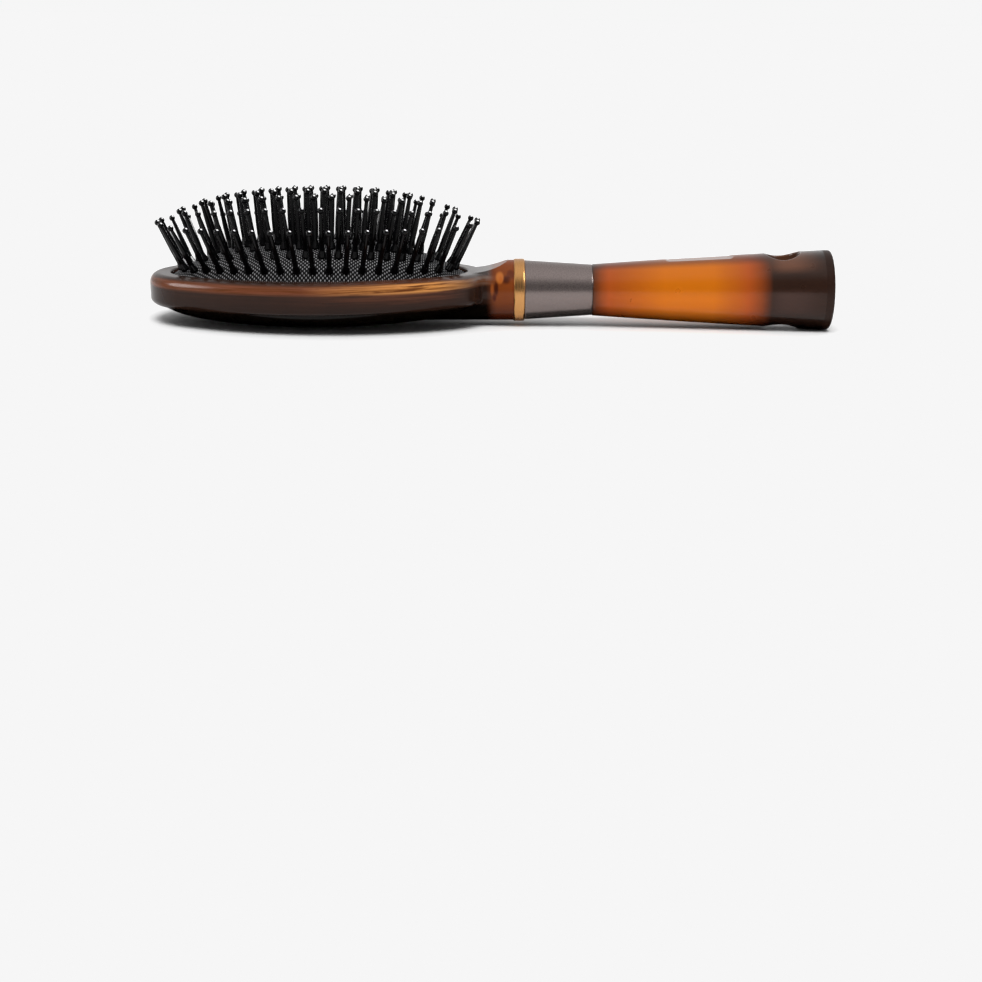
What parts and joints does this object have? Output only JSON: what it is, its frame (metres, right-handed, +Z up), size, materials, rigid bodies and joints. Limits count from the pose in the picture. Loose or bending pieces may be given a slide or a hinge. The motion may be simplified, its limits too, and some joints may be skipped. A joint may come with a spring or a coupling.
{
  "type": "detangling brush",
  "caption": "Oval paddle detangling brush: ball-tipped pins on a sprung domed air cushion, two-shell head, trim ring, collar and hollow flared handle with a hang hole.",
  "frame": {"origin": "under the middle of the brush's length and width, on the level of the handle's lowest point", "axes": "+X along the handle from the head's tip to the hanging end, +Z up out of the cushion along the pins, Y across the head"},
  "size_m": [0.238, 0.0732, 0.0498],
  "materials": {
    "brown_shell": "smoky translucent brown plastic, satin",
    "cushion_rubber": "black rubber with a fine raised lattice",
    "pin_nylon": "glossy black moulded nylon",
    "gold_trim": "satin gold plated trim",
    "taupe_lacquer": "taupe pearl lacquer, satin",
    "dark_plastic": "dark brown plastic, satin",
    "amber_handle": "amber translucent plastic, satin frosted"
  },
  "bodies": {
    "root": {"back_shell": "brown_shell", "front_frame": "brown_shell", "cushion_pad": "cushion_rubber", "neck_ring": "gold_trim", "collar": "taupe_lacquer", "joining_core": "dark_plastic", "handle_tube": "amber_handle", "end_plug": "dark_plastic"},
    "centre_pins": {"pins_centre_row": "pin_nylon"},
    "inner_pins": {"pins_inner_ring": "pin_nylon"},
    "third_pins": {"pins_third_ring": "pin_nylon"},
    "second_pins": {"pins_second_ring": "pin_nylon"},
    "outer_pins": {"pins_outer_ring": "pin_nylon"}
  },
  "joints": [
    {"name": "cushion_press", "type": "slide", "parent": "root", "child": "centre_pins", "axis": [0, 0, -1], "range_m": [0, 0.004], "stiffness_N_per_m": 400, "deforming": ["cushion_pad"]},
    {"name": "press_inner_ring", "type": "slide", "parent": "root", "child": "inner_pins", "axis": [0, 0, -1], "range_m": [0, 0.00382]},
    {"name": "press_third_ring", "type": "slide", "parent": "root", "child": "third_pins", "axis": [0, 0, -1], "range_m": [0, 0.00338]},
    {"name": "press_second_ring", "type": "slide", "parent": "root", "child": "second_pins", "axis": [0, 0, -1], "range_m": [0, 0.00258]},
    {"name": "press_outer_ring", "type": "slide", "parent": "root", "child": "outer_pins", "axis": [0, 0, -1], "range_m": [0, 0.0013]}
  ],
  "couplings": [
    {"joint": "press_inner_ring", "follows": "cushion_press", "ratio": 0.93},
    {"joint": "press_third_ring", "follows": "cushion_press", "ratio": 0.82},
    {"joint": "press_second_ring", "follows": "cushion_press", "ratio": 0.62},
    {"joint": "press_outer_ring", "follows": "cushion_press", "ratio": 0.3}
  ]
}
